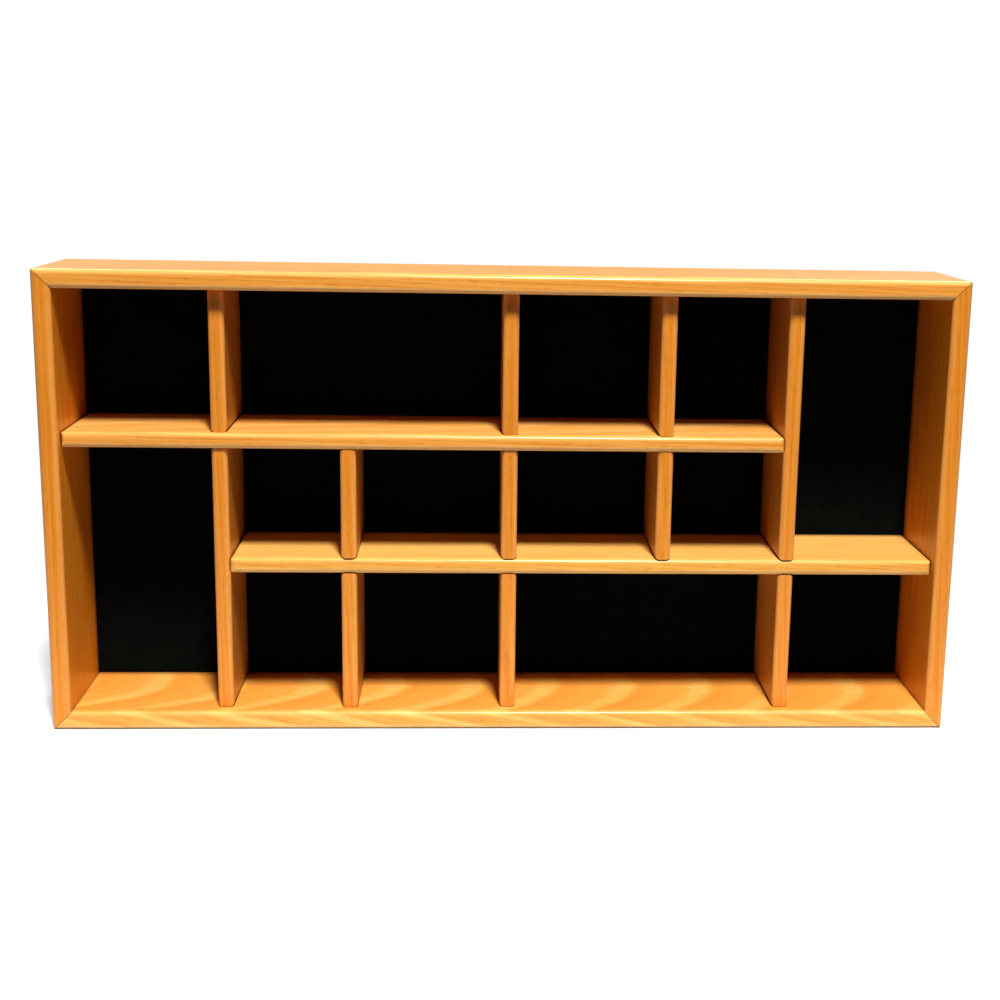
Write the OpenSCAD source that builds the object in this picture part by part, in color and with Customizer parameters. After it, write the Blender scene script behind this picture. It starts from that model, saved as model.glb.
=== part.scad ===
// Open fronted wooden display case for fishing lures.
// A mitred frame, two shelves and eleven upright dividers make fourteen compartments in front
// of a felt lined back panel. X is the width, the front faces -Y and Z is up. The origin is the
// middle of the face that the frame stands on. All sizes are in millimetres.

/* [Boards] */
// Thickness of the four frame boards
frame_t = 12.5; // [10:0.5:19]
// Depth of the frame boards, front to back
frame_d = 89; // [70:1:120]
// Thickness of the two shelves
shelf_t = 10.6; // [9.5:0.1:14]
// Thickness of the upright dividers
divider_t = 10.6; // [9.5:0.1:14]

/* [Compartment widths] */
// First column, beside the left stile
bay_1_w = 97; // [60:0.5:160]
// Second column
bay_2_w = 74; // [60:0.5:160]
// Third column
bay_3_w = 97; // [60:0.5:160]
// Fourth column
bay_4_w = 94; // [60:0.5:160]
// Fifth column
bay_5_w = 74.5; // [60:0.5:160]
// Sixth column, beside the right stile
bay_6_w = 95.5; // [60:0.5:160]

/* [Compartment heights] */
// Row above the upper shelf
top_row_h = 94; // [70:0.5:160]
// Row between the shelves
middle_row_h = 74.5; // [60:0.5:160]
// Row below the lower shelf
bottom_row_h = 95; // [60:0.5:160]

/* [Front edges] */
// Radius on the inner and outer front edges of the frame
frame_edge_r = 3.25; // [1:0.25:4.5]
// Radius on the front edges of shelves and dividers
inner_edge_r = 3.25; // [1:0.25:4.5]
// Radius on the side edges where a shelf or divider ends
end_edge_r = 2.75; // [0.5:0.25:3]
// Radius on the outer corners of the mitred frame
frame_corner_r = 2; // [0.5:0.25:5]
// Radius on the outer back edges of the frame
back_edge_r = 1.5; // [0.5:0.25:3]
// Upper shelf behind the front of the frame
upper_shelf_setback = 7.5; // [3:0.5:20]
// Lower shelf behind the front of the frame
lower_shelf_setback = 9; // [3:0.5:20]
// First line of dividers behind the front of the frame
line_1_setback = 10; // [3:0.5:20]
// Second line of dividers behind the front of the frame
line_2_setback = 9; // [3:0.5:20]
// Third line of dividers behind the front of the frame
line_3_setback = 9.5; // [3:0.5:20]
// Fourth line of dividers behind the front of the frame
line_4_setback = 9; // [3:0.5:20]
// Fifth line of dividers behind the front of the frame
line_5_setback = 9; // [3:0.5:20]

/* [Back] */
// Thickness of the plywood back panel, flush with the back of the frame
panel_t = 4.5; // [3:0.5:6]
// Thickness of the felt on its front
felt_t = 1; // [0.6:0.1:2]
// Width of the rabbet that holds both
rabbet_w = 5; // [4:0.5:6]
// Gap between panel and rabbet on each side
panel_clearance = 0.4; // [0.2:0.1:1]

/* [Fastenings] */
// Diameter of the brads
brad_d = 1.6; // [1.2:0.1:2]
// Length of the brads
brad_l = 28; // [24:1:32]
// Diameter of the dowels
dowel_d = 5; // [4:0.5:6]
// First row of brads and dowels behind the front of the frame
front_fixing_inset = 30; // [26:1:36]
// Second row of brads and dowels in front of the felt
back_fixing_inset = 18; // [10:1:24]
// How far a dowel enters the end of a board
dowel_depth = 12; // [8:1:18]
// Wood left under a blind dowel hole
blind_floor = 2.6; // [2:0.2:4]
// Diameter of the panel pins
panel_pin_d = 1.2; // [1:0.1:1.6]
// Length of the panel pins
panel_pin_l = 18; // [14:1:24]
// Gap round each brad, pin, screw and dowel in its hole
hole_clearance = 0.05; // [0.02:0.01:0.1]

/* [Hanging hardware] */
// Height of the ring pivots below the top of the frame
pivot_drop = 20; // [17:1:40]
// Width of the ring, wire centre to wire centre
ring_w = 17; // [15:0.5:24]
// Straight part of the ring's sides
ring_leg = 3; // [1:0.5:6]
// Diameter of the ring's wire
ring_wire_d = 2.3; // [1.8:0.1:3]
// Width of the strap
strap_w = 12; // [9:0.5:12]
// Thickness of the strap's sheet
strap_t = 0.9; // [0.7:0.1:1.2]
// Pivot down to the strap's screw
strap_screw_drop = 20; // [18:1:26]
// Diameter of the hanger screws
screw_d = 3.2; // [2.8:0.1:4]
// Length of the hanger screws under the head
screw_l = 19; // [15:1:25]
// Diameter of the wall bumpers
bumper_d = 10; // [8:0.5:14]
// Edge radius of the wall bumpers
bumper_edge_r = 1.5; // [0.5:0.25:3]
// Centre of each bumper from the side and the bottom of the frame
bumper_inset = 9; // [9:0.5:20]
// Thickness of the wall bumpers
bumper_t = 5; // [4.8:0.1:8]

/* [Hidden] */
$fn = 48;

// Planes across the depth, with y = 0 in the middle of the frame
front_y = -frame_d / 2;
back_y = frame_d / 2;
panel_front_y = back_y - panel_t;
felt_front_y = panel_front_y - felt_t;

// Places across the width; the five lines of dividers are numbered 0 to 4 from the left
bay_w = [bay_1_w, bay_2_w, bay_3_w, bay_4_w, bay_5_w, bay_6_w];
line_setback = [line_1_setback, line_2_setback, line_3_setback, line_4_setback, line_5_setback];
line_count = len(line_setback);
function width_of(bays) = bays == 0 ? 0 : bay_w[bays - 1] + width_of(bays - 1);
inner_w = width_of(line_count + 1) + line_count * divider_t;
case_w = inner_w + 2 * frame_t;
inner_left = -inner_w / 2;
inner_right = inner_w / 2;
line_x = [for (line = [0:line_count - 1]) inner_left + width_of(line + 1) + (line + 0.5) * divider_t];

// Places up the height
floor_z = frame_t;
lower_shelf_z = floor_z + bottom_row_h;
lower_shelf_top = lower_shelf_z + shelf_t;
upper_shelf_z = lower_shelf_top + middle_row_h;
upper_shelf_top = upper_shelf_z + shelf_t;
ceiling_z = upper_shelf_top + top_row_h;
case_h = ceiling_z + frame_t;

// Which lines have a divider that meets each rail, or stands on both sides of a shelf
top_rail_lines = [0, 2, 3, 4];
bottom_rail_lines = [0, 1, 2, 4];
upper_crossings = [0, 2, 3];
lower_crossings = [1, 2, 4];
// The line that ends on one side of a shelf only, and the tall divider that stops a shelf
upper_tee = 1;
lower_tee = 3;
left_tall = 0;
right_tall = 4;

// Fastenings stand in two rows, one behind the fronts and one before the felt
fixing_y = [front_y + front_fixing_inset, felt_front_y - back_fixing_inset];
brad_head_r = brad_d * 0.75;
brad_head_t = 0.8;
brad_tip_l = 2;
brad_tip_r = brad_d / 8;
brad_sunk = 0.5;
dowel_end_gap = 0.5;
panel_pin_head_r = panel_pin_d * 0.9;
panel_pin_head_t = 0.5;
pins_across = 4;
pins_up = 2;
// How far a cutter runs on past the face it cuts
cut_past = 1;

// Hangers: the pivot stands off the back so that the ring's wire clears the strap
ring_wire_r = ring_wire_d / 2;
ring_gap = 0.35;
pivot_clearance = 0.05;
eye_r = ring_wire_r + pivot_clearance + strap_t;
eye_side_gap = 0.5;
eye_w = strap_w - 2 * eye_side_gap;
pivot_y = back_y + strap_t + ring_gap + ring_wire_r;
pivot_z = case_h - pivot_drop;
screw_head_r = screw_d;
screw_head_t = 1.9;
screw_slot_w = 0.6;
screw_slot_depth = 0.8;
screw_tip_l = 3;
screw_tip_r = screw_d / 8;
hanger_lines = [left_tall, right_tall];

wood = [0.86, 0.55, 0.22];
dowel_wood = [0.9, 0.78, 0.58];
plywood = [0.78, 0.62, 0.42];
felt_black = [0.03, 0.03, 0.04];
steel = [0.72, 0.73, 0.75];
rubber_black = [0.08, 0.08, 0.08];

// Outline of a board: depth along X from front to back, w wide along Y, front corners rounded
module eased_outline(w, front, back, r) {
    translate([front + r, -w / 2])
        square([back - front - r, w]);
    translate([front, r - w / 2])
        square([r, w - 2 * r]);
    for (side = [-1, 1])
        translate([front + r, side * (w / 2 - r)])
            circle(r);
}

// Rectangle with four round corners, centred
module round_rectangle(w, h, r) {
    square([w - 2 * r, h], center = true);
    square([w, h - 2 * r], center = true);
    for (x = [-1, 1], y = [-1, 1])
        translate([x * (w / 2 - r), y * (h / 2 - r)])
            circle(r);
}

// Inner board standing l high from z = 0, with its front edges and the sides of its ends rounded
module eased_board(l, thick, front) {
    intersection() {
        linear_extrude(l)
            rotate(90)
                eased_outline(thick, front, felt_front_y, inner_edge_r);
        translate([0, felt_front_y, l / 2])
            rotate([90, 0, 0])
                linear_extrude(felt_front_y - front)
                    round_rectangle(thick, l, end_edge_r);
    }
}

// What rounding takes off an edge at the origin, of a board that lies towards -X and +Y
module edge_cut(r) {
    difference() {
        translate([-r, -cut_past])
            square(r + cut_past);
        translate([-r, r])
            circle(r);
    }
}

// Divider on one line, between two heights
module upright(line, bottom, top) {
    color(wood)
        difference() {
            translate([line_x[line], 0, bottom])
                eased_board(top - bottom, divider_t, front_y + line_setback[line]);
            inner_holes();
        }
}

// Shelf between two places across the width, with the front corners of its ends rounded too
module shelf(left, right, bottom, setback) {
    front = front_y + setback;
    color(wood)
        difference() {
            intersection() {
                translate([left, 0, bottom + shelf_t / 2])
                    rotate([0, 90, 0])
                        eased_board(right - left, shelf_t, front);
                translate([(left + right) / 2, 0, bottom])
                    linear_extrude(shelf_t)
                        rotate(90)
                            eased_outline(right - left, front, felt_front_y, inner_edge_r);
            }
            inner_holes();
        }
}

// Frame board along X with its outer face on z = 0, rabbeted for the back and mitred at both ends
module frame_board(l) {
    intersection() {
        rotate([90, 0, 90])
            linear_extrude(l, center = true)
                difference() {
                    translate([0, frame_t / 2])
                        eased_outline(frame_t, front_y, back_y, frame_edge_r);
                    translate([felt_front_y, frame_t - rabbet_w])
                        square(frame_t);
                    translate([back_y, 0])
                        edge_cut(back_edge_r);
                }
        rotate([90, 0, 0])
            linear_extrude(2 * frame_d, center = true)
                polygon([[-l / 2, 0], [l / 2, 0], [l / 2 - frame_t, frame_t], [frame_t - l / 2, frame_t]]);
    }
}

// Frame board cut to the rounded outer corners of the case and drilled
module finished_frame_board() {
    color(wood)
        difference() {
            intersection() {
                children();
                translate([0, 0, case_h / 2])
                    rotate([90, 0, 0])
                        linear_extrude(2 * frame_d, center = true)
                            round_rectangle(case_w, case_h, frame_corner_r);
            }
            frame_holes();
        }
}

module bottom_rail() {
    finished_frame_board()
        frame_board(case_w);
}

module top_rail() {
    finished_frame_board()
        translate([0, 0, case_h])
            mirror([0, 0, 1])
                frame_board(case_w);
}

module left_stile() {
    finished_frame_board()
        translate([-case_w / 2, 0, case_h / 2])
            rotate([0, 90, 0])
                frame_board(case_h);
}

module right_stile() {
    finished_frame_board()
        translate([case_w / 2, 0, case_h / 2])
            rotate([0, -90, 0])
                frame_board(case_h);
}

module upper_shelf() {
    shelf(inner_left, line_x[right_tall] - divider_t / 2, upper_shelf_z, upper_shelf_setback);
}

module lower_shelf() {
    shelf(line_x[left_tall] + divider_t / 2, inner_right, lower_shelf_z, lower_shelf_setback);
}

module left_tall_divider() upright(left_tall, floor_z, upper_shelf_z);
module right_tall_divider() upright(right_tall, lower_shelf_top, ceiling_z);
module top_left_divider() upright(0, upper_shelf_top, ceiling_z);
module top_center_divider() upright(2, upper_shelf_top, ceiling_z);
module top_right_divider() upright(3, upper_shelf_top, ceiling_z);
module middle_left_divider() upright(1, lower_shelf_top, upper_shelf_z);
module middle_center_divider() upright(2, lower_shelf_top, upper_shelf_z);
module middle_right_divider() upright(3, lower_shelf_top, upper_shelf_z);
module bottom_left_divider() upright(1, floor_z, lower_shelf_z);
module bottom_center_divider() upright(2, floor_z, lower_shelf_z);
module bottom_right_divider() upright(4, floor_z, lower_shelf_z);

// Sheet that fills the rabbet all round, between two depths
module back_sheet(front, back) {
    difference() {
        translate([0, back, case_h / 2])
            rotate([90, 0, 0])
                linear_extrude(back - front)
                    square([
                        inner_w + 2 * (rabbet_w - panel_clearance),
                        ceiling_z - floor_z + 2 * (rabbet_w - panel_clearance)
                    ], center = true);
        at_panel_pins()
            panel_pin(hole_clearance);
        at_hangers()
            hanger_screw_hole();
    }
}

module felt_lining() {
    color(felt_black)
        back_sheet(felt_front_y, panel_front_y);
}

module back_panel() {
    color(plywood)
        back_sheet(panel_front_y, back_y);
}

// Brad driven along +Z from a face at z = 0, its head sunk below the face; a gap makes it a hole
module brad(gap = 0) {
    mouth = gap > 0 ? brad_sunk + cut_past : 0;
    translate([0, 0, brad_sunk]) {
        translate([0, 0, -mouth])
            cylinder(h = brad_head_t + mouth, r = brad_head_r + gap);
        cylinder(h = brad_l - brad_tip_l, r = brad_d / 2 + gap);
        translate([0, 0, brad_l - brad_tip_l])
            cylinder(h = brad_tip_l, r1 = brad_d / 2 + gap, r2 = brad_tip_r + gap);
    }
}

// Dowel along Z from z = 0
module dowel(l, gap = 0) {
    end = gap > 0 ? 0 : dowel_end_gap;
    translate([0, 0, end])
        cylinder(h = l - 2 * end, r = dowel_d / 2 + gap);
}

// Pin driven along -Y from the back of the panel, its head let in flush
module panel_pin(gap = 0) {
    mouth = gap > 0 ? cut_past : 0;
    rotate([90, 0, 0]) {
        translate([0, 0, -mouth])
            cylinder(h = panel_pin_head_t + mouth, r = panel_pin_head_r + gap);
        cylinder(h = panel_pin_l, r = panel_pin_d / 2 + gap);
    }
}

// Places of the fastenings, each with its own axis
module at_corner_brads() {
    for (y = fixing_y, side = [-1, 1], z = [frame_t / 2, case_h - frame_t / 2])
        translate([side * case_w / 2, y, z])
            rotate([0, -side * 90, 0])
                children();
}

module at_stile_brads() {
    for (y = fixing_y) {
        translate([-case_w / 2, y, upper_shelf_z + shelf_t / 2])
            rotate([0, 90, 0])
                children();
        translate([case_w / 2, y, lower_shelf_z + shelf_t / 2])
            rotate([0, -90, 0])
                children();
    }
}

module at_top_rail_brads() {
    for (y = fixing_y, line = top_rail_lines)
        translate([line_x[line], y, case_h])
            rotate([180, 0, 0])
                children();
}

module at_bottom_rail_brads() {
    for (y = fixing_y, line = bottom_rail_lines)
        translate([line_x[line], y, 0])
            children();
}

module at_panel_pins() {
    sheet_w = inner_w + rabbet_w;
    sheet_h = ceiling_z - floor_z + rabbet_w;
    for (side = [-1, 1]) {
        for (place = [0.5:pins_across - 0.5])
            translate([(place / pins_across - 0.5) * sheet_w, back_y, (case_h + side * sheet_h) / 2])
                children();
        for (place = [0.5:pins_up - 0.5])
            translate([side * sheet_w / 2, back_y, case_h / 2 + (place / pins_up - 0.5) * sheet_h])
                children();
    }
}

module at_hanger(line) {
    translate([line_x[line], pivot_y, pivot_z])
        children();
}

module at_hangers() {
    for (line = hanger_lines)
        at_hanger(line)
            children();
}

// Dowels through a shelf into the dividers above and below it
module through_dowel_set(gap = 0) {
    for (y = fixing_y) {
        for (line = upper_crossings)
            translate([line_x[line], y, upper_shelf_z - dowel_depth])
                dowel(shelf_t + 2 * dowel_depth, gap);
        for (line = lower_crossings)
            translate([line_x[line], y, lower_shelf_z - dowel_depth])
                dowel(shelf_t + 2 * dowel_depth, gap);
    }
}

// Dowels that stop inside the board on one side
module blind_dowel_set(gap = 0) {
    shelf_part = shelf_t - blind_floor;
    divider_part = divider_t - blind_floor;
    for (y = fixing_y) {
        translate([line_x[upper_tee], y, upper_shelf_z - dowel_depth])
            dowel(dowel_depth + shelf_part, gap);
        translate([line_x[lower_tee], y, lower_shelf_top - shelf_part])
            dowel(dowel_depth + shelf_part, gap);
        translate([line_x[right_tall] - divider_t / 2 - dowel_depth, y, upper_shelf_z + shelf_t / 2])
            rotate([0, 90, 0])
                dowel(dowel_depth + divider_part, gap);
        translate([line_x[left_tall] + divider_t / 2 + dowel_depth, y, lower_shelf_z + shelf_t / 2])
            rotate([0, -90, 0])
                dowel(dowel_depth + divider_part, gap);
    }
}

// Everything that is drilled in the frame, and in the boards inside it
module frame_holes() {
    at_corner_brads()
        brad(hole_clearance);
    rail_and_stile_holes();
    at_panel_pins()
        panel_pin(hole_clearance);
}

module inner_holes() {
    rail_and_stile_holes();
    through_dowel_set(hole_clearance);
    blind_dowel_set(hole_clearance);
    at_hangers()
        hanger_screw_hole();
}

module rail_and_stile_holes() {
    at_stile_brads()
        brad(hole_clearance);
    at_top_rail_brads()
        brad(hole_clearance);
    at_bottom_rail_brads()
        brad(hole_clearance);
}

module corner_brads() color(steel) at_corner_brads() brad();
module stile_brads() color(steel) at_stile_brads() brad();
module top_rail_brads() color(steel) at_top_rail_brads() brad();
module bottom_rail_brads() color(steel) at_bottom_rail_brads() brad();
module through_dowels() color(dowel_wood) through_dowel_set();
module blind_dowels() color(dowel_wood) blind_dowel_set();
module panel_pins() color(steel) at_panel_pins() panel_pin();

// Hanger parts stand round the ring's pivot, which runs along X through the origin
strap_back = back_y - pivot_y;
strap_front = strap_back + strap_t;

module hanger_strap() {
    color(steel)
        difference() {
            union() {
                translate([0, strap_front, 0])
                    rotate([90, 0, 0])
                        linear_extrude(strap_t) {
                            translate([-strap_w / 2, -strap_screw_drop])
                                square([strap_w, strap_screw_drop + eye_r]);
                            translate([0, -strap_screw_drop])
                                circle(strap_w / 2);
                        }
                rotate([0, 90, 0])
                    cylinder(h = eye_w, r = eye_r, center = true);
            }
            rotate([0, 90, 0])
                cylinder(h = strap_w + 2 * cut_past, r = ring_wire_r + pivot_clearance, center = true);
            hanger_screw_hole();
        }
}

module hanger_ring() {
    color(steel) {
        translate([0, 0, -ring_leg])
            rotate([-90, 0, 0])
                rotate_extrude(angle = 180)
                    translate([ring_w / 2, 0])
                        circle(ring_wire_r);
        for (side = [-1, 1]) {
            translate([side * ring_w / 2, 0, -ring_leg])
                cylinder(h = ring_leg, r = ring_wire_r);
            translate([side * ring_w / 2, 0, 0])
                sphere(ring_wire_r);
        }
        rotate([0, 90, 0])
            cylinder(h = ring_w, r = ring_wire_r, center = true);
    }
}

// Screw through the strap, its domed head outside with a cross recess
module hanger_screw() {
    translate([0, strap_front, -strap_screw_drop])
        rotate([90, 0, 0]) {
            difference() {
                rotate_extrude()
                    intersection() {
                        translate([0, screw_head_r - screw_head_t])
                            circle(screw_head_r);
                        translate([0, -screw_head_t])
                            square([screw_head_r, screw_head_t]);
                    }
                for (turn = [0, 90])
                    rotate(turn)
                        translate([0, 0, -screw_head_t])
                            cube([screw_head_r, screw_slot_w, 2 * screw_slot_depth], center = true);
            }
            cylinder(h = screw_l - screw_tip_l, r = screw_d / 2);
            translate([0, 0, screw_l - screw_tip_l])
                cylinder(h = screw_tip_l, r1 = screw_d / 2, r2 = screw_tip_r);
        }
}

module hanger_screw_hole() {
    translate([0, strap_front + cut_past, -strap_screw_drop])
        rotate([90, 0, 0])
            cylinder(h = screw_l + cut_past + hole_clearance, r = screw_d / 2 + hole_clearance);
}

module left_hanger_strap() at_hanger(left_tall) hanger_strap();
module right_hanger_strap() at_hanger(right_tall) hanger_strap();
module left_hanger_ring() at_hanger(left_tall) hanger_ring();
module right_hanger_ring() at_hanger(right_tall) hanger_ring();
module hanger_screws() color(steel) at_hangers() hanger_screw();

// Rubber pads that keep the back upright and the hangers off the wall
module wall_bumpers() {
    color(rubber_black)
        for (side = [-1, 1])
            translate([side * (case_w / 2 - bumper_inset), back_y, bumper_inset])
                rotate([-90, 0, 0])
                    rotate_extrude() {
                        square([bumper_d / 2, bumper_t - bumper_edge_r]);
                        square([bumper_d / 2 - bumper_edge_r, bumper_t]);
                        translate([bumper_d / 2 - bumper_edge_r, bumper_t - bumper_edge_r])
                            circle(bumper_edge_r);
                    }
}

top_rail();
bottom_rail();
left_stile();
right_stile();
upper_shelf();
lower_shelf();
left_tall_divider();
right_tall_divider();
top_left_divider();
top_center_divider();
top_right_divider();
middle_left_divider();
middle_center_divider();
middle_right_divider();
bottom_left_divider();
bottom_center_divider();
bottom_right_divider();
felt_lining();
back_panel();
corner_brads();
stile_brads();
top_rail_brads();
bottom_rail_brads();
through_dowels();
blind_dowels();
panel_pins();
left_hanger_strap();
right_hanger_strap();
left_hanger_ring();
right_hanger_ring();
hanger_screws();
wall_bumpers();
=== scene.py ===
import math
from collections import namedtuple

import bpy
from mathutils import Matrix, Vector


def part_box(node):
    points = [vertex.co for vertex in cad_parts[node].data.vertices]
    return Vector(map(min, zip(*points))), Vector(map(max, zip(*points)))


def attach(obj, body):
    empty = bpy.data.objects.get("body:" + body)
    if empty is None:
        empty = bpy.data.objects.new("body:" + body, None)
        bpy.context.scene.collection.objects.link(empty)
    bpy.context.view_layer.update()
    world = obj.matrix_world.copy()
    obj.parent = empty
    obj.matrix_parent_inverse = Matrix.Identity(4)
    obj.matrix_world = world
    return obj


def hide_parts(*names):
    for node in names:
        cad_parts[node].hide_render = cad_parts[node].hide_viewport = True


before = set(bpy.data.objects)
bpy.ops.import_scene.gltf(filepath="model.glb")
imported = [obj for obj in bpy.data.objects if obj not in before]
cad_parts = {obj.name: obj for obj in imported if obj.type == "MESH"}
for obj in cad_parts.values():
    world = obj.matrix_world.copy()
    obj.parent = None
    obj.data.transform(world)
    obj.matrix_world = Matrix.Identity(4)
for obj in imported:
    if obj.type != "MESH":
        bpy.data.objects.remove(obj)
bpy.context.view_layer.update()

MM = 0.001

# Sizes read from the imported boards
rail_low, rail_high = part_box("top_rail")
stile_low, stile_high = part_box("left_stile")
CASE_HALF_W = rail_high.x
CASE_H = rail_high.z
FRAME_T = stile_high.x - stile_low.x
FRONT_Y = rail_low.y
FELT_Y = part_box("felt_lining")[0].y

# Camera: where it stood, the way it looked in degrees, its lens in mm and how the picture was cropped
CAMERA_PLACE = Vector((-23.0, -1076.5, 390.9)) * MM
CAMERA_HEADING = 3.334
CAMERA_PITCH = -12.293
CAMERA_ROLL = 1.093
CAMERA_LENS = 57.20
CAMERA_SHIFT = (-0.0626, -0.0063)

# Lamps: one main lamp high in front and a little to the right, and two weak ones behind
KEY_PLACE = Vector((0.31, -1.75, 3.36))
KEY_POWER = 214.0
KEY_SIZE = (0.4, 0.7)
KEY_COLOUR = (1.0, 0.97, 0.92)
BACK_PLACES = (Vector((-1.3, 1.7, 2.3)), Vector((1.3, 1.9, 2.3)))
BACK_POWER = 50.0
BACK_SIZE = (1.4, 1.4)
LAMP_AIM = Vector((0.0, 0.0, 0.15))
# Light from all round, and the white room that shiny faces mirror
WORLD_FILL = 0.01
WORLD_GLOSS = 0.3
# Floor: its corners, where it fades into white and where the light that it sends back grows darker
FLOOR_LOW = (-0.95, -0.50)
FLOOR_HIGH = (0.95, 0.75)
FLOOR_FADE = (0.30, 0.46)
SHEET_FADE = (0.18, 0.26)
TABLE_GREY = (0.10, 0.10, 0.10)

# Varnished oak: light, middle and dark wood of a board, in linear values. The upright boards are painted
# darker and the level boards lighter, and the lower shelf and bottom rail lightest, as painted light and
# shade for how the lamp falls on each
UPRIGHT_OAK = ((0.86, 0.325, 0.036), (0.80, 0.254, 0.014), (0.58, 0.145, 0.006))
LEVEL_OAK = ((0.96, 0.450, 0.090), (0.91, 0.355, 0.046), (0.68, 0.195, 0.016))
SHELF_OAK = ((0.95, 0.500, 0.100), (0.90, 0.405, 0.056), (0.66, 0.210, 0.018))
BASE_OAK = ((0.97, 0.600, 0.160), (0.93, 0.420, 0.070), (0.84, 0.320, 0.042))
OAK_PORE = (0.300, 0.070, 0.006)
# Colour of the painted highlight on the rounded front edges
OAK_PAINTED_HIGHLIGHT = (1.000, 0.700, 0.280)
# Brown of the mitre joints, also used for the painted shade in inside corners and near the felt
JOINT_AND_SHADE_BROWN = (0.100, 0.026, 0.004)
# Share of the way from light to dark wood at which the middle wood stands
MIDDLE_SHADE = 0.42

# Painted light and shade behind a board's front edge: what its colour is multiplied by there (darker
# sides on upright boards, lighter tops on shelves, a darker top on the top rail), and where that starts
# and is full
UPRIGHT_SIDE_SHADE = (0.66, 0.82, 1.60)
STILE_INNER_SHADE = (0.92, 0.98, 0.80)
LEVEL_FACE_LIGHT = (0.98, 1.14, 1.75)
BASE_TOP_SHADE = (0.96, 0.90, 0.88)
TOP_RAIL_SHADE = (0.86, 0.70, 0.90)
INSIDE_FROM = 1.5 * MM
INSIDE_FULL = 5.0 * MM

# Painted shade where a board meets the felt: the brightness left there, and how far the painted shade
# reaches
FELT_SHADE = 0.35
FELT_SHADE_REACH = 9.0 * MM
FRAME_FADE = (1.0 * MM, 3.0 * MM)

# Painted shade in an inside corner, found by ambient occlusion, and the dark line along a mitre: the
# shade's reach and how much of each shows
CORNER_REACH = 2.0 * MM
CORNER_OPEN = (0.42, 0.80)
CORNER_DARK = 0.62
MITRE_DARK = 0.65

# Painted highlight along the front edges of a board, strongest as a painted reflection of the floor along
# the lower edges of level boards
UPRIGHT_EDGE_HIGHLIGHT = 0.14
TOP_EDGE_HIGHLIGHT = 0.16
LOW_EDGE_REFLECTION = 0.5

# Varnish
OAK_ROUGH = 0.50
STREAK_ROUGH = -0.10
VARNISH = {"Specular IOR Level": 0.2, "Coat Weight": 0.28, "Coat Roughness": 0.22, "Coat IOR": 1.55}

# Wood figure: noise cells per metre along and across the grain, and the greys across one ring
WANDER_CELLS = (7.0, 34.0, 34.0)
STREAK_CELLS = (9.0, 520.0, 520.0)
PORE_CELLS = (130.0, 1500.0, 1500.0)
CLOUD_CELLS = (5.0, 40.0, 40.0)
RING_STOPS = [(0.0, 0.5), (0.07, 0.95), (0.3, 0.6), (0.6, 0.45), (0.74, 0.0), (0.92, 0.0), (1.0, 0.5)]

# A board's tones, its painted light and shade behind the front, the way its grain runs, where its rings
# lie and how strongly they show
Board = namedtuple("Board", "palette inner upright offset heart drift ring_width ring_depth")
LEVEL = False
UPRIGHT = True
FRAME_BOARDS = ("top_rail", "bottom_rail", "left_stile", "right_stile")

# The small knot near the left end of the bottom rail: its middle and its reach
KNOT = (Vector((-0.2475, FRONT_Y + 6.0 * MM, FRAME_T)), (6.0 * MM, 3.0 * MM, 3.0 * MM))


def colour(rgb):
    return (*rgb, 1.0)


def shade_node(tree, kind, **settings):
    """New node of a kind in a tree, with its settings."""
    made = tree.nodes.new(kind)
    for key, value in settings.items():
        setattr(made, key, value)
    return made


def set_inputs(made, values):
    """Gives a node's sockets numbers, colours or links, by name or number."""
    for key, value in values.items():
        socket = made.inputs[key]
        if isinstance(value, bpy.types.NodeSocket):
            made.id_data.links.new(value, socket)
        else:
            socket.default_value = value
    return made


def math_node(tree, operation, a, b=0.0, c=0.0, clamp=False):
    made = shade_node(tree, "ShaderNodeMath", operation=operation, use_clamp=clamp)
    set_inputs(made, {0: a, 1: b, 2: c})
    return made.outputs[0]


def vector_node(tree, operation, a, b=(0.0, 0.0, 0.0)):
    made = shade_node(tree, "ShaderNodeVectorMath", operation=operation)
    set_inputs(made, {0: a, 1: b})
    return made.outputs["Value"] if operation in ("LENGTH", "DISTANCE") else made.outputs["Vector"]


def stretched(tree, point, scale):
    """The point with each axis multiplied by its own scale."""
    return vector_node(tree, "MULTIPLY", point, scale)


def scaled(tree, vector, factor):
    """The vector with all its axes multiplied by one number."""
    made = shade_node(tree, "ShaderNodeVectorMath", operation="SCALE")
    set_inputs(made, {0: vector, "Scale": factor})
    return made.outputs["Vector"]


def split_axes(tree, point):
    """The point's X, Y and Z."""
    made = shade_node(tree, "ShaderNodeSeparateXYZ")
    set_inputs(made, {0: point})
    return made.outputs["X"], made.outputs["Y"], made.outputs["Z"]


def noise_node(tree, point, detail=2.0, roughness=0.5, scale=1.0):
    made = shade_node(tree, "ShaderNodeTexNoise")
    set_inputs(made, {"Vector": point, "Scale": scale, "Detail": detail, "Roughness": roughness})
    return made


def remap(tree, value, low, high, to_low=0.0, to_high=1.0, smooth=True):
    """The value moved from one range to another, and held within it."""
    made = shade_node(tree, "ShaderNodeMapRange", clamp=True)
    made.interpolation_type = "SMOOTHSTEP" if smooth else "LINEAR"
    set_inputs(made, {
        "Value": value,
        "From Min": low,
        "From Max": high,
        "To Min": to_low,
        "To Max": to_high,
    })
    return made.outputs["Result"]


def from_noise(tree, value, low, high):
    """The middle of a noise's range spread from low to high."""
    return remap(tree, value, 0.3, 0.7, low, high)


def ramp_node(tree, value, stops):
    """Colour ramp through (place, grey or colour) stops."""
    made = shade_node(tree, "ShaderNodeValToRGB")
    elements = made.color_ramp.elements
    while len(elements) < len(stops):
        elements.new(0.5)
    for element, (place, tone) in zip(elements, stops):
        element.position = place
        element.color = colour(tone if isinstance(tone, tuple) else (tone, tone, tone))
    set_inputs(made, {"Fac": value})
    return made.outputs["Color"]


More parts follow.
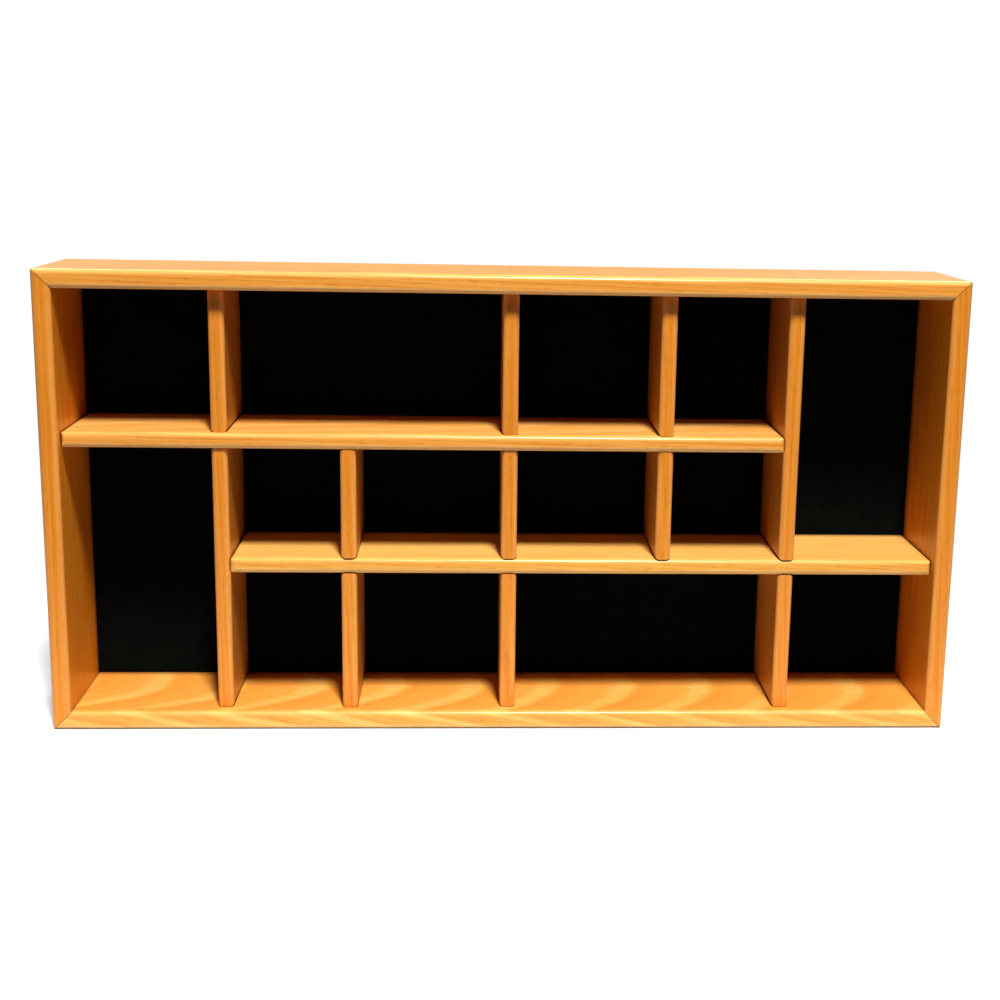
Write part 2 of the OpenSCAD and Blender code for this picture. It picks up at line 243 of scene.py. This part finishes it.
def mix_colour(tree, factor, a, b, blend="MIX"):
    made = shade_node(tree, "ShaderNodeMix", data_type="RGBA", blend_type=blend)
    set_inputs(made, {"Factor": factor, 6: a, 7: b})
    return made.outputs[2]


def new_group(name, inputs, outputs):
    """Empty shader group with named sockets: (name, kind, default) and (name, kind)."""
    group = bpy.data.node_groups.new(name, "ShaderNodeTree")
    for title, kind, value in inputs:
        socket = group.interface.new_socket(title, in_out="INPUT", socket_type="NodeSocket" + kind)
        if value is not None:
            socket.default_value = value
    for title, kind in outputs:
        group.interface.new_socket(title, in_out="OUTPUT", socket_type="NodeSocket" + kind)
    return group, group.nodes.new("NodeGroupInput"), group.nodes.new("NodeGroupOutput")


def use_group(tree, group, values):
    made = shade_node(tree, "ShaderNodeGroup", node_tree=group)
    return set_inputs(made, values)


# Shader groups

def make_wood_figure():
    """Growth rings, streaks and pores of a board whose grain runs along the point's X axis."""
    group, given, result = new_group(
        "wood_figure",
        [
            ("Point", "Vector", None),
            ("Heart", "Vector", (0.0, 0.0, -0.03)),
            ("Drift", "Vector", (0.0, 0.0, 0.05)),
            ("Ring Width", "Float", 0.003),
            ("Wander", "Float", 0.003),
        ],
        [("Ring", "Float"), ("Streak", "Float"), ("Pore", "Float"), ("Cloud", "Float")],
    )
    point = given.outputs["Point"]
    slow = noise_node(group, stretched(group, point, WANDER_CELLS))
    offset = vector_node(group, "SUBTRACT", slow.outputs["Color"], (0.5, 0.5, 0.5))
    wander = scaled(group, offset, given.outputs["Wander"])
    along, _, _ = split_axes(group, point)
    drift = scaled(group, given.outputs["Drift"], along)
    moved = vector_node(group, "ADD", point, wander)
    moved = vector_node(group, "ADD", moved, drift)
    from_heart = vector_node(group, "SUBTRACT", moved, given.outputs["Heart"])
    radius = vector_node(group, "LENGTH", stretched(group, from_heart, (0.0, 1.0, 1.0)))
    phase = math_node(group, "FRACT", math_node(group, "DIVIDE", radius, given.outputs["Ring Width"]))
    ring = ramp_node(group, phase, RING_STOPS)
    fine = noise_node(group, stretched(group, moved, STREAK_CELLS), detail=4.0, roughness=0.62)
    streak = remap(group, fine.outputs["Fac"], 0.30, 0.72)
    dashes = noise_node(group, stretched(group, moved, PORE_CELLS), detail=1.0)
    pore = remap(group, dashes.outputs["Fac"], 0.56, 0.72)
    cloud = noise_node(group, stretched(group, point, CLOUD_CELLS))
    set_inputs(result, {"Ring": ring, "Streak": streak, "Pore": pore, "Cloud": cloud.outputs["Fac"]})
    return group


def make_wood_colour():
    """Varnished oak's colour from its figure, with a painted highlight along its edges, dark along its
    mitres and with painted shade in its inside corners.
    """
    group, given, result = new_group(
        "wood_colour",
        [
            ("Ring", "Float", 0.0),
            ("Streak", "Float", 0.5),
            ("Pore", "Float", 0.0),
            ("Cloud", "Float", 0.5),
            ("Ring Depth", "Float", 0.6),
            ("Light Wood", "Color", colour(LEVEL_OAK[0])),
            ("Middle Wood", "Color", colour(LEVEL_OAK[1])),
            ("Dark Wood", "Color", colour(LEVEL_OAK[2])),
            ("Edge Highlight", "Float", 0.0),
            ("Joint Shade", "Float", 0.0),
        ],
        [("Color", "Color")],
    )
    depth = math_node(group, "MULTIPLY", given.outputs["Ring"], given.outputs["Ring Depth"])
    streaked = math_node(group, "MULTIPLY_ADD", given.outputs["Streak"], -0.30, 0.30)
    shade = math_node(group, "ADD", depth, streaked)
    clouded = math_node(group, "MULTIPLY_ADD", given.outputs["Cloud"], 0.5, -0.20)
    shade = math_node(group, "ADD", shade, clouded, clamp=True)
    to_middle = remap(group, shade, 0.0, MIDDLE_SHADE, smooth=False)
    to_dark = remap(group, shade, MIDDLE_SHADE, 1.0, smooth=False)
    base = mix_colour(group, to_middle, given.outputs["Light Wood"], given.outputs["Middle Wood"])
    base = mix_colour(group, to_dark, base, given.outputs["Dark Wood"])
    open_grain = math_node(group, "MULTIPLY_ADD", given.outputs["Ring"], 0.35, 0.08)
    pored = math_node(group, "MULTIPLY", given.outputs["Pore"], open_grain)
    base = mix_colour(group, pored, base, colour(OAK_PORE))
    base = mix_colour(group, given.outputs["Edge Highlight"], base, colour(OAK_PAINTED_HIGHLIGHT))
    base = mix_colour(group, given.outputs["Joint Shade"], base, colour(JOINT_AND_SHADE_BROWN))
    set_inputs(result, {"Color": base})
    return group


def make_mitre_line():
    """Thin dark line where the frame's boards meet at 45 degrees, in all four corners."""
    group, given, result = new_group(
        "mitre_line",
        [
            ("Point", "Vector", None),
            ("Half Width", "Float", CASE_HALF_W),
            ("Height", "Float", CASE_H),
            ("Line", "Float", 0.0006),
        ],
        [("Mask", "Float")],
    )
    x, _, z = split_axes(group, given.outputs["Point"])
    across = math_node(group, "ABSOLUTE", x)
    from_side = math_node(group, "SUBTRACT", given.outputs["Half Width"], across)
    half_height = math_node(group, "MULTIPLY", given.outputs["Height"], 0.5)
    from_middle = math_node(group, "ABSOLUTE", math_node(group, "SUBTRACT", z, half_height))
    from_end = math_node(group, "SUBTRACT", half_height, from_middle)
    apart = math_node(group, "ABSOLUTE", math_node(group, "SUBTRACT", from_side, from_end))
    mask = remap(group, math_node(group, "DIVIDE", apart, given.outputs["Line"]), 0.4, 1.3, 1.0, 0.0)
    set_inputs(result, {"Mask": mask})
    return group


def make_painted_edge_light():
    """Mask of a painted highlight along a rounded edge: paler wood where the lamp's shine and the floor's
    reflection show on the rounding.
    """
    group, given, result = new_group(
        "painted_edge_light",
        [
            ("Point", "Vector", None),
            ("Edge", "Vector", None),
            ("Across", "Vector", (0.0, 1.0, 1.0)),
            ("Reach", "Float", 0.0045),
            ("Strength", "Float", 0.5),
        ],
        [("Mask", "Float")],
    )
    apart = vector_node(group, "SUBTRACT", given.outputs["Point"], given.outputs["Edge"])
    apart = stretched(group, apart, given.outputs["Across"])
    away = math_node(group, "DIVIDE", vector_node(group, "LENGTH", apart), given.outputs["Reach"])
    uneven = noise_node(group, given.outputs["Point"], scale=70.0).outputs["Fac"]
    near = remap(group, math_node(group, "MULTIPLY_ADD", uneven, 0.5, away), 0.5, 1.25, 1.0, 0.0)
    set_inputs(result, {"Mask": math_node(group, "MULTIPLY", near, given.outputs["Strength"])})
    return group


def make_inner_shade():
    """Masks for painted light and shade: what lies behind a board's front and, inside the frame only,
    what lies close to the felt.
    """
    group, given, result = new_group(
        "inner_shade",
        [("Point", "Vector", None), ("Front", "Float", 0.0), ("Felt", "Float", 0.0)],
        [("Inside", "Float"), ("Near Felt", "Float")],
    )
    x, y, z = split_axes(group, given.outputs["Point"])
    behind = math_node(group, "SUBTRACT", y, given.outputs["Front"])
    ahead = math_node(group, "SUBTRACT", given.outputs["Felt"], y)
    inside = remap(group, behind, INSIDE_FROM, INSIDE_FULL)
    near_felt = remap(group, ahead, 0.0, FELT_SHADE_REACH, 1.0, 0.0)
    across = math_node(group, "ABSOLUTE", x)
    upward = math_node(group, "ABSOLUTE", math_node(group, "SUBTRACT", z, CASE_H / 2))
    start, end = FRAME_FADE
    for apart, inner_face in ((across, CASE_HALF_W - FRAME_T), (upward, CASE_H / 2 - FRAME_T)):
        within = remap(group, apart, inner_face + start, inner_face + end, 1.0, 0.0)
        near_felt = math_node(group, "MULTIPLY", near_felt, within)
    set_inputs(result, {"Inside": inside, "Near Felt": near_felt})
    return group


def make_wood_mark():
    """Soft oval mark in the wood, such as a small knot."""
    group, given, result = new_group(
        "wood_mark",
        [("Point", "Vector", None), ("Centre", "Vector", None), ("Reach", "Vector", (0.01, 0.01, 0.01))],
        [("Mask", "Float")],
    )
    apart = vector_node(group, "SUBTRACT", given.outputs["Point"], given.outputs["Centre"])
    away = vector_node(group, "LENGTH", vector_node(group, "DIVIDE", apart, given.outputs["Reach"]))
    set_inputs(result, {"Mask": remap(group, away, 0.35, 1.0, 1.0, 0.0)})
    return group


def make_fine_noise():
    """Fine even grain, for the feel of felt, metal, rubber and paint."""
    group, given, result = new_group(
        "fine_noise",
        [
            ("Point", "Vector", None),
            ("Grains Per Metre", "Float", 2000.0),
            ("Stretch", "Vector", (1.0, 1.0, 1.0)),
        ],
        [("Value", "Float")],
    )
    point = stretched(group, given.outputs["Point"], given.outputs["Stretch"])
    noise = noise_node(group, point, detail=3.0, roughness=0.6, scale=given.outputs["Grains Per Metre"])
    set_inputs(result, {"Value": noise.outputs["Fac"]})
    return group


WOOD_FIGURE = make_wood_figure()
WOOD_COLOUR = make_wood_colour()
MITRE_LINE = make_mitre_line()
PAINTED_EDGE_LIGHT = make_painted_edge_light()
INNER_SHADE = make_inner_shade()
WOOD_MARK = make_wood_mark()
FINE_NOISE = make_fine_noise()


# Materials

def start_material(name):
    """New material with its tree, its Principled shader and the piece's own coordinates."""
    material = bpy.data.materials.new(name)
    material.use_nodes = True
    tree = material.node_tree
    shader = tree.nodes["Principled BSDF"]
    place = shade_node(tree, "ShaderNodeTexCoord").outputs["Object"]
    return material, tree, shader, place


def add_bump(tree, shader, height, distance, strength=1.0):
    bump = shade_node(tree, "ShaderNodeBump")
    set_inputs(bump, {"Strength": strength, "Distance": distance, "Height": height})
    set_inputs(shader, {"Normal": bump.outputs["Normal"]})


def joint_shadow(tree, reach, dark):
    """Mask of painted shade in inside corners: a narrow dark line where ambient occlusion finds faces
    close by.
    """
    near = shade_node(tree, "ShaderNodeAmbientOcclusion", samples=8)
    set_inputs(near, {"Distance": reach})
    return remap(tree, near.outputs["AO"], *CORNER_OPEN, dark, 0.0)


def oak_material(name, board, front, edges, marks):
    """Varnished oak board. Edges are painted highlights as (place, across, strength) and marks are
    (centre, reach).
    """
    light, middle, dark = board.palette
    material, tree, shader, place = start_material(name + "_oak")
    grain = place
    if board.upright:
        x, y, z = split_axes(tree, place)
        turned = shade_node(tree, "ShaderNodeCombineXYZ")
        set_inputs(turned, {"X": z, "Y": x, "Z": y})
        grain = turned.outputs[0]
    grain = vector_node(tree, "ADD", grain, board.offset)
    figure = use_group(tree, WOOD_FIGURE, {
        "Point": grain,
        "Heart": board.heart,
        "Drift": board.drift,
        "Ring Width": board.ring_width,
    })
    depth = use_group(tree, INNER_SHADE, {"Point": place, "Front": front, "Felt": FELT_Y})
    # Painted shade in inside corners, together with the real dark line along the frame's mitres
    joint_and_shade = joint_shadow(tree, CORNER_REACH, CORNER_DARK)
    if name in FRAME_BOARDS:
        line = use_group(tree, MITRE_LINE, {"Point": place})
        mitre = math_node(tree, "MULTIPLY", line.outputs["Mask"], MITRE_DARK)
        joint_and_shade = math_node(tree, "MAXIMUM", joint_and_shade, mitre)
    # Painted highlight and painted floor reflection along the board's rounded front edges
    edge_light = 0.0
    for edge, across, strength in edges:
        worn = use_group(tree, PAINTED_EDGE_LIGHT, {
            "Point": place,
            "Edge": edge,
            "Across": across,
            "Strength": strength,
        })
        edge_light = math_node(tree, "MAXIMUM", worn.outputs["Mask"], edge_light)
    paint = use_group(tree, WOOD_COLOUR, {
        "Ring": figure.outputs["Ring"],
        "Streak": figure.outputs["Streak"],
        "Pore": figure.outputs["Pore"],
        "Cloud": figure.outputs["Cloud"],
        "Ring Depth": board.ring_depth,
        "Light Wood": colour(light),
        "Middle Wood": colour(middle),
        "Dark Wood": colour(dark),
        "Edge Highlight": edge_light,
        "Joint Shade": joint_and_shade,
    })
    painted = paint.outputs["Color"]
    # Painted shade on the sides of upright boards and painted light on the tops of shelves, behind the
    # front edge
    painted = mix_colour(tree, depth.outputs["Inside"], painted, colour(board.inner), "MULTIPLY")
    # Painted shade on the boards near the felt
    shaded = math_node(tree, "MULTIPLY", depth.outputs["Near Felt"], 1.0 - FELT_SHADE)
    painted = mix_colour(tree, shaded, painted, colour(JOINT_AND_SHADE_BROWN))
    for centre, reach in marks:
        mark = use_group(tree, WOOD_MARK, {"Point": place, "Centre": centre, "Reach": reach})
        painted = mix_colour(tree, mark.outputs["Mask"], painted, colour(dark))
    rough = math_node(tree, "MULTIPLY_ADD", figure.outputs["Streak"], STREAK_ROUGH, OAK_ROUGH)
    set_inputs(shader, {"Base Color": painted, "Roughness": rough})
    set_inputs(shader, VARNISH)
    relief = math_node(tree, "MULTIPLY_ADD", figure.outputs["Pore"], -0.5, figure.outputs["Streak"])
    add_bump(tree, shader, relief, 0.05 * MM, 0.7)
    return material


def plywood_material():
    """Back panel: pale rotary-cut veneer, unvarnished."""
    material, tree, shader, place = start_material("plywood_face")
    figure = use_group(tree, WOOD_FIGURE, {
        "Point": place,
        "Heart": (0.0, -0.03, 0.12),
        "Drift": (0.0, 0.05, 0.04),
        "Ring Width": 0.006,
        "Wander": 0.012,
    })
    shade = math_node(tree, "MULTIPLY_ADD", figure.outputs["Ring"], 0.35, 0.15)
    shade = math_node(tree, "MULTIPLY_ADD", figure.outputs["Streak"], 0.3, shade)
    tones = [(0.0, (0.62, 0.44, 0.25)), (0.5, (0.52, 0.34, 0.17)), (1.0, (0.36, 0.20, 0.085))]
    painted = ramp_node(tree, shade, tones)
    # Painted shade in the panel's inside corners
    painted = mix_colour(tree, joint_shadow(tree, CORNER_REACH, 0.7), painted, colour((0.10, 0.05, 0.02)))
    rough = remap(tree, figure.outputs["Streak"], 0.0, 1.0, 0.72, 0.58)
    set_inputs(shader, {"Base Color": painted, "Roughness": rough})
    add_bump(tree, shader, figure.outputs["Streak"], 0.08 * MM, 0.8)
    return material


def dowel_material():
    """Beech dowels with a fine straight grain."""
    material, tree, shader, place = start_material("beech_dowel")
    noise = use_group(tree, FINE_NOISE, {
        "Point": place,
        "Grains Per Metre": 900.0,
        "Stretch": (1.0, 1.0, 0.05),
    })
    tones = [(0.3, (0.60, 0.42, 0.24)), (0.7, (0.78, 0.60, 0.38))]
    painted = ramp_node(tree, noise.outputs["Value"], tones)
    rough = from_noise(tree, noise.outputs["Value"], 0.6, 0.7)
    set_inputs(shader, {"Base Color": painted, "Roughness": rough})
    add_bump(tree, shader, noise.outputs["Value"], 0.05 * MM)
    return material


def steel_material(name, bright, dull, rough):
    """Plated steel, a little scuffed, with painted shade in its corners."""
    material, tree, shader, place = start_material(name)
    fine = use_group(tree, FINE_NOISE, {"Point": place, "Grains Per Metre": 1400.0})
    broad = use_group(tree, FINE_NOISE, {"Point": place, "Grains Per Metre": 160.0})
    painted = mix_colour(tree, broad.outputs["Value"], colour(bright), colour(dull))
    painted = mix_colour(tree, joint_shadow(tree, 1.5 * MM, 0.5), painted, colour((0.12, 0.11, 0.10)))
    worn = remap(tree, broad.outputs["Value"], 0.35, 0.70, rough, rough + 0.18)
    set_inputs(shader, {"Base Color": painted, "Metallic": 1.0, "Roughness": worn})
    add_bump(tree, shader, fine.outputs["Value"], 0.02 * MM, 0.7)
    return material


def rubber_material():
    """Soft black rubber with a bloom of dust."""
    material, tree, shader, place = start_material("bumper_rubber")
    fine = use_group(tree, FINE_NOISE, {"Point": place, "Grains Per Metre": 1800.0})
    broad = use_group(tree, FINE_NOISE, {"Point": place, "Grains Per Metre": 220.0})
    dusty = remap(tree, broad.outputs["Value"], 0.45, 0.75)
    painted = mix_colour(tree, dusty, colour((0.016, 0.016, 0.017)), colour((0.045, 0.043, 0.040)))
    rough = from_noise(tree, fine.outputs["Value"], 0.68, 0.86)
    set_inputs(shader, {"Base Color": painted, "Roughness": rough})
    add_bump(tree, shader, fine.outputs["Value"], 0.05 * MM, 0.6)
    return material


def felt_material():
    """Black felt: matted short fibres with a faint blue cast."""
    material, tree, shader, place = start_material("black_felt")
    fibres = use_group(tree, FINE_NOISE, {
        "Point": place,
        "Grains Per Metre": 1100.0,
        "Stretch": (1.0, 1.0, 0.6),
    })
    patches = use_group(tree, FINE_NOISE, {"Point": place, "Grains Per Metre": 70.0})
    fine = math_node(tree, "MULTIPLY", fibres.outputs["Value"], 0.65)
    shade = math_node(tree, "MULTIPLY_ADD", patches.outputs["Value"], 0.35, fine)
    tones = [(0.35, (0.0008, 0.0016, 0.0015)), (0.65, (0.0036, 0.0052, 0.0050))]
    painted = ramp_node(tree, shade, tones)
    rough = from_noise(tree, fibres.outputs["Value"], 0.92, 1.0)
    set_inputs(shader, {"Base Color": painted, "Roughness": rough, "Specular IOR Level": 0.03})
    set_inputs(shader, {
        "Sheen Weight": 0.006,
        "Sheen Roughness": 0.5,
        "Sheen Tint": colour((0.25, 0.3, 0.4)),
    })
    add_bump(tree, shader, fibres.outputs["Value"], 0.4 * MM, 0.9)
    return material


# Boards

def plan_boards():
    """Every oak board's own figure, so that no two boards look cut from one picture."""
    boards = {
        "bottom_rail": Board(
            BASE_OAK, BASE_TOP_SHADE, LEVEL, (0.0, 0.0, 0.0),
            (0.0, 0.014, -0.166), (0.0, 0.02, 0.20), 0.0110, 0.62),
        "top_rail": Board(
            LEVEL_OAK, TOP_RAIL_SHADE, LEVEL, (1.31, 0.0, 0.0),
            (0.0, -0.020, 0.420), (0.0, 0.02, 0.03), 0.0034, 0.40),
        "upper_shelf": Board(
            LEVEL_OAK, LEVEL_FACE_LIGHT, LEVEL, (2.17, 0.0, 0.0),
            (0.0, 0.060, 0.050), (0.0, 0.02, 0.03), 0.0036, 0.35),
        "lower_shelf": Board(
            SHELF_OAK, LEVEL_FACE_LIGHT, LEVEL, (3.43, 0.0, 0.0),
            (0.0, -0.090, 0.010), (0.0, 0.03, 0.03), 0.0042, 0.35),
        "left_stile": Board(
            UPRIGHT_OAK, STILE_INNER_SHADE, UPRIGHT, (0.37, 0.0, 0.0),
            (0.0, -0.370, 0.030), (0.0, 0.02, 0.04), 0.0036, 0.32),
        "right_stile": Board(
            UPRIGHT_OAK, STILE_INNER_SHADE, UPRIGHT, (1.73, 0.0, 0.0),
            (0.0, 0.390, 0.060), (0.0, 0.02, 0.03), 0.0034, 0.30),
    }
    dividers = [
        "left_tall_divider", "right_tall_divider",
        "top_left_divider", "top_center_divider", "top_right_divider",
        "middle_left_divider", "middle_center_divider", "middle_right_divider",
        "bottom_left_divider", "bottom_center_divider", "bottom_right_divider",
    ]
    for number, name in enumerate(dividers):
        low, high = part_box(name)
        aside = 0.045 if number % 2 else -0.05
        heart = (0.0, (low.x + high.x) / 2 + aside, 0.020 * (number % 3) - 0.03)
        offset = (0.53 * (number + 1), 0.0, 0.0)
        boards[name] = Board(
            UPRIGHT_OAK, UPRIGHT_SIDE_SHADE, UPRIGHT, offset, heart, (0.0, 0.02, 0.03), 0.0032, 0.30)
    return boards


def highlight_edges(low, high, upright):
    """The front edges of a board that get a painted highlight, as (place, across, strength)."""
    if upright:
        return [((x, low.y, 0.0), (1.0, 1.0, 0.0), UPRIGHT_EDGE_HIGHLIGHT) for x in (low.x, high.x)]
    level_edges = ((high.z, TOP_EDGE_HIGHLIGHT), (low.z, LOW_EDGE_REFLECTION))
    return [((0.0, low.y, z), (0.0, 1.0, 1.0), strength) for z, strength in level_edges]


def dress_boards():
    for name, board in plan_boards().items():
        low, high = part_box(name)
        marks = [KNOT] if name == "bottom_rail" else []
        edges = highlight_edges(low, high, board.upright)
        dress(name, oak_material(name, board, low.y, edges, marks))


def dress(node, material):
    """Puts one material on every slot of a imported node."""
    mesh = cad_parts[node].data
    mesh.materials.clear()
    mesh.materials.append(material)


def dress_hardware():
    nail = steel_material("nail_steel_grey", (0.46, 0.45, 0.43), (0.30, 0.29, 0.28), 0.34)
    plate = steel_material("zinc_plate", (0.72, 0.72, 0.70), (0.50, 0.50, 0.50), 0.24)
    for node in ("corner_brads", "stile_brads", "top_rail_brads", "bottom_rail_brads", "panel_pins"):
        dress(node, nail)
    for side in ("left", "right"):
        dress(side + "_hanger_strap", plate)
        dress(side + "_hanger_ring", plate)
    dress("hanger_screws", plate)
    beech = dowel_material()
    dress("through_dowels", beech)
    dress("blind_dowels", beech)
    dress("back_panel", plywood_material())
    dress("wall_bumpers", rubber_material())


# Felt: one sheet of cloth stretched over the back panel

def make_felt():
    """Thin sheet with a slightly uneven face, in the felt's own place."""
    low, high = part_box("felt_lining")
    width = high.x - low.x
    height = high.z - low.z
    cell = 4.0 * MM
    columns = round(width / cell)
    rows = round(height / cell)
    inset = 0.08 * MM
    unevenness = 0.07 * MM
    points = []
    for face_y, bend in ((low.y + inset, unevenness), (high.y - inset, 0.0)):
        for row in range(rows + 1):
            for column in range(columns + 1):
                x = low.x + width * column / columns
                z = low.z + height * row / rows
                # Waves about 100 mm long, so that the cloth doesn't look like a drawn rectangle
                wave = math.sin(x * 61 + 1.3 * math.sin(z * 47)) * math.sin(z * 53 + math.sin(x * 31))
                points.append((x, face_y + bend * wave, z))
    side = (rows + 1) * (columns + 1)
    faces = []
    for row in range(rows):
        for column in range(columns):
            a = row * (columns + 1) + column
            b = a + columns + 1
            faces.append((a, a + 1, b + 1, b))
            faces.append((side + a, side + b, side + b + 1, side + a + 1))
    rim = [row * (columns + 1) for row in range(rows, 0, -1)]
    rim += list(range(columns))
    rim += [row * (columns + 1) + columns for row in range(rows)]
    rim += [rows * (columns + 1) + column for column in range(columns, 0, -1)]
    for a, b in zip(rim, rim[1:] + rim[:1]):
        faces.append((b, a, side + a, side + b))
    mesh = bpy.data.meshes.new("felt_sheet")
    mesh.from_pydata(points, [], faces)
    mesh.validate()
    mesh.update()
    mesh.shade_smooth()
    sheet = bpy.data.objects.new("felt_sheet", mesh)
    bpy.context.scene.collection.objects.link(sheet)
    mesh.materials.append(felt_material())
    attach(sheet, "case")
    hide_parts("felt_lining")
    return sheet


# Stage, lamps and camera

def make_floor():
    """Pale floor that keeps the object's shadow and fades into white further out.

    It lights the case like a white sheet near it on a darker table."""
    mesh = bpy.data.meshes.new("floor")
    (left, front), (right, back) = FLOOR_LOW, FLOOR_HIGH
    corners = [(left, front, 0), (right, front, 0), (right, back, 0), (left, back, 0)]
    mesh.from_pydata(corners, [], [(0, 1, 2, 3)])
    floor = bpy.data.objects.new("floor", mesh)
    bpy.context.scene.collection.objects.link(floor)
    material, tree, shader, place = start_material("floor_white")
    speckle = use_group(tree, FINE_NOISE, {"Point": place, "Grains Per Metre": 300.0})
    tones = [(0.3, (0.74, 0.77, 0.83)), (0.7, (0.77, 0.80, 0.86))]
    painted = ramp_node(tree, speckle.outputs["Value"], tones)
    path = shade_node(tree, "ShaderNodeLightPath")
    away = vector_node(tree, "LENGTH", stretched(tree, place, (0.5, 1.0, 0.0)))
    seen = math_node(tree, "MAXIMUM", path.outputs["Is Camera Ray"], path.outputs["Is Glossy Ray"])
    unseen = math_node(tree, "SUBTRACT", 1.0, seen)
    dim_bounce = math_node(tree, "MULTIPLY", unseen, remap(tree, away, *SHEET_FADE))
    painted = mix_colour(tree, dim_bounce, painted, colour(TABLE_GREY))
    rough = from_noise(tree, speckle.outputs["Value"], 0.85, 0.95)
    set_inputs(shader, {"Base Color": painted, "Roughness": rough})
    white = shade_node(tree, "ShaderNodeEmission")
    set_inputs(white, {"Color": (1.0, 1.0, 1.0, 1.0), "Strength": 1.0})
    fade = math_node(tree, "MULTIPLY", path.outputs["Is Camera Ray"], remap(tree, away, *FLOOR_FADE))
    mixed = shade_node(tree, "ShaderNodeMixShader")
    set_inputs(mixed, {0: fade, 1: shader.outputs["BSDF"], 2: white.outputs[0]})
    set_inputs(tree.nodes["Material Output"], {"Surface": mixed.outputs[0]})
    mesh.materials.append(material)


def make_world():
    world = bpy.data.worlds.new("studio")
    bpy.context.scene.world = world
    world.use_nodes = True
    tree = world.node_tree
    path = shade_node(tree, "ShaderNodeLightPath")
    glossy = remap(tree, path.outputs["Is Glossy Ray"], 0.0, 1.0, WORLD_FILL, WORLD_GLOSS, smooth=False)
    strength = math_node(tree, "MAXIMUM", glossy, path.outputs["Is Camera Ray"])
    set_inputs(tree.nodes["Background"], {"Color": (1.0, 1.0, 1.0, 1.0), "Strength": strength})


def make_lamp(name, place, power, size, tint=(1.0, 1.0, 1.0)):
    lamp = bpy.data.lights.new(name, "AREA")
    lamp.shape = "ELLIPSE"
    lamp.size, lamp.size_y = size
    lamp.energy = power
    lamp.color = tint
    held = bpy.data.objects.new(name, lamp)
    bpy.context.scene.collection.objects.link(held)
    held.location = place
    held.rotation_mode = "QUATERNION"
    held.rotation_quaternion = (LAMP_AIM - place).to_track_quat("-Z", "Y")


def make_camera():
    lens = bpy.data.cameras.new("camera")
    lens.lens = CAMERA_LENS
    lens.shift_x, lens.shift_y = CAMERA_SHIFT
    camera = bpy.data.objects.new("camera", lens)
    bpy.context.scene.collection.objects.link(camera)
    turn = Matrix.Rotation(-math.radians(CAMERA_HEADING), 4, "Z")
    tilt = Matrix.Rotation(math.radians(90 + CAMERA_PITCH), 4, "X")
    roll = Matrix.Rotation(math.radians(CAMERA_ROLL), 4, "Z")
    camera.matrix_world = Matrix.Translation(CAMERA_PLACE) @ turn @ tilt @ roll
    bpy.context.scene.camera = camera


dress_boards()
dress_hardware()
make_felt()
make_floor()
make_world()
make_lamp("key_lamp", KEY_PLACE, KEY_POWER, KEY_SIZE, KEY_COLOUR)
for side, back_place in zip(("left", "right"), BACK_PLACES):
    make_lamp(side + "_back_lamp", back_place, BACK_POWER, BACK_SIZE)
make_camera()
bpy.context.scene.view_settings.view_transform = "Standard"
